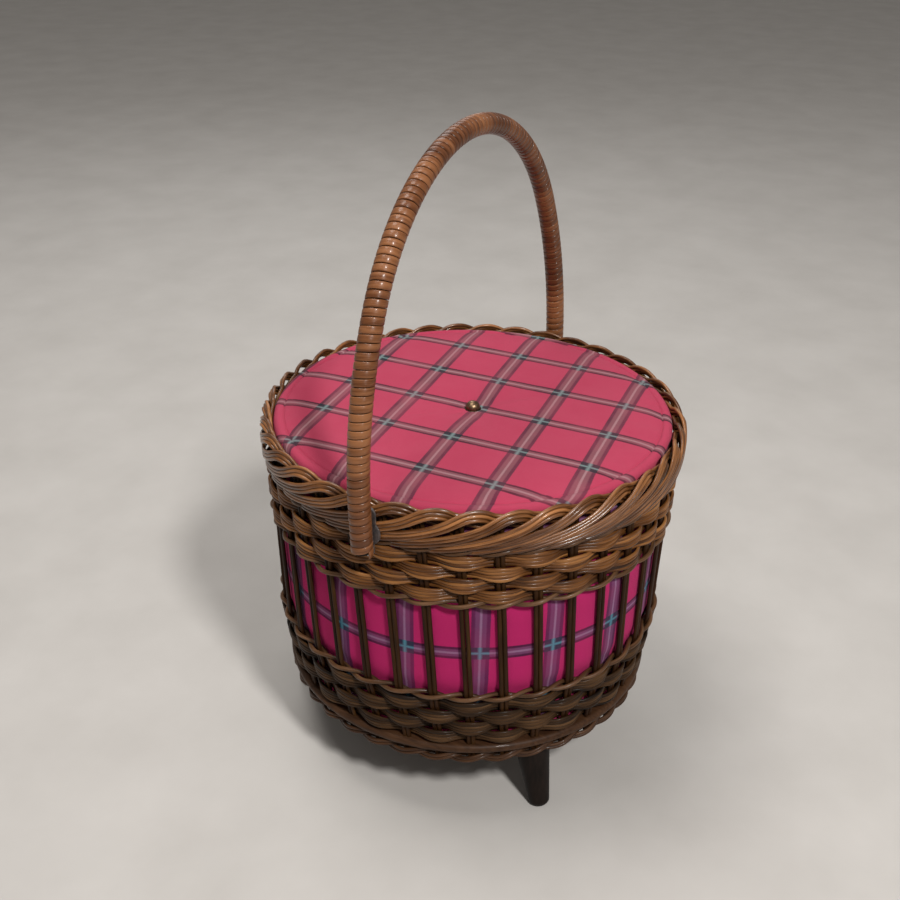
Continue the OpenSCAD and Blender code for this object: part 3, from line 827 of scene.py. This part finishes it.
# The lower band's cane is the wall cane made much darker, painting the shade it stands in under the
# basket's overhang.
lower_cane_painted_shade = cane_material(
    "lower_cane_painted_shade", pale=(0.10, 0.050, 0.020), mid=(0.036, 0.016, 0.005), dark=(0.008, 0.004, 0.002),
    roughness=0.5, coat=0.05, shine=0.12)
thin_cane = cane_material(
    "thin_cane", pale=(0.22, 0.115, 0.058), mid=(0.080, 0.036, 0.014), dark=(0.020, 0.009, 0.004))
stake_cane = cane_material(
    "stake_cane", pale=(0.070, 0.032, 0.008), mid=(0.032, 0.012, 0.003),
    dark=(0.010, 0.003, 0.001), roughness=0.55, coat=0.04, shine=0.1)
border_cane = cane_material(
    "border_cane", pale=(0.36, 0.150, 0.048), mid=(0.095, 0.033, 0.008),
    dark=(0.014, 0.005, 0.002), roughness=0.34, coat=0.4, shine=0.3)
foot_cane = cane_material(
    "foot_cane", pale=(0.11, 0.050, 0.022), mid=(0.042, 0.018, 0.008),
    dark=(0.010, 0.004, 0.002), roughness=0.45, coat=0.1, shine=0.15)
handle_cane = cane_material(
    "handle_cane", pale=(0.26, 0.105, 0.04), mid=(0.115, 0.038, 0.012), dark=(0.03, 0.009, 0.003),
    roughness=0.36, coat=0.25, shine=0.25)
# The lid's tartan and the lining's are one cloth. The lid's copy is warmer, painting the warm light
# on the lid; the lining's copy is bluer and more magenta, painting the shade inside the basket.
lid_tartan_painted_warm_light = tartan_material(
    "lid_tartan_painted_warm_light", ground=(0.46, 0.048, 0.102), edge=(0.120, 0.028, 0.052),
    middle=(0.220, 0.080, 0.100),
    line=(0.36, 0.20, 0.22), crossing=(0.014, 0.026, 0.036), crossing_line=(0.16, 0.25, 0.25),
    wide_step=LID_WIDE_STEP, narrow_step=NARROW_STEP, faded=(0.52, 0.085, 0.145))
lining_tartan_painted_shade = tartan_material(
    "lining_tartan_painted_shade", ground=(0.52, 0.020, 0.142), edge=(0.11, 0.020, 0.085),
    middle=(0.17, 0.055, 0.145),
    line=(0.30, 0.17, 0.30), crossing=(0.006, 0.036, 0.070), crossing_line=(0.06, 0.27, 0.36),
    wide_step=LINING_WIDE_STEP, narrow_step=NARROW_STEP, faded=(0.54, 0.03, 0.14))
base_wood = wood_material(
    "base_wood", (0.075, 0.034, 0.015), (0.03, 0.013, 0.006), 0.5, direction=(6, 0.8, 6), coat=0.05)
leg_wood = wood_material("leg_wood", (0.014, 0.008, 0.006), (0.005, 0.003, 0.002), 0.5, coat=0.0)
card = wood_material(
    "card", (0.38, 0.25, 0.14), (0.28, 0.17, 0.09), 0.8, direction=(3, 3, 3), coat=0.0)
steel = metal_material("dull_steel", (0.46, 0.48, 0.52), (0.20, 0.20, 0.21), 0.42)
brass = metal_material("old_brass", (0.30, 0.20, 0.12), (0.10, 0.065, 0.04), 0.38, 420)
dark_brass = metal_material("dark_brass", (0.10, 0.07, 0.04), (0.03, 0.02, 0.015), 0.5, 420)

make_stakes(stake_cane)
make_slewed_rows("lower_weave_canes", "lower_weave", lower_cane_painted_shade)
make_slewed_rows("upper_weave_canes", "upper_weave", wall_cane)
for pairing in ("lower_pairing", "upper_weave_bottom_pairing", "upper_weave_top_pairing"):
    make_pairing(pairing + "_canes", pairing, thin_cane)
make_foot_border(foot_cane)
make_top_border(border_cane)
make_handle_wrap(handle_cane)
make_lining(lining_tartan_painted_shade)
make_base_pad(lining_tartan_painted_shade)
make_lid_cushion(lid_tartan_painted_warm_light)
make_lid_underside(lining_tartan_painted_shade)
make_knob(brass, dark_brass)

for name in ("leg_1", "leg_2", "leg_3"):
    finish_node(name, leg_wood)
finish_node("base_board", base_wood)
finish_node("lid_board", card)
finish_node("lid_rest_hoop", base_wood)
finish_node("handle_core", leg_wood)
for name in ("leg_screws", "handle_bracket_left", "handle_bracket_right", "backing_plate_left",
             "backing_plate_right", "bracket_screws", "bracket_nuts", "pivot_stud_left",
             "pivot_stud_right", "knob_screw", "knob_washer"):
    finish_node(name, steel)
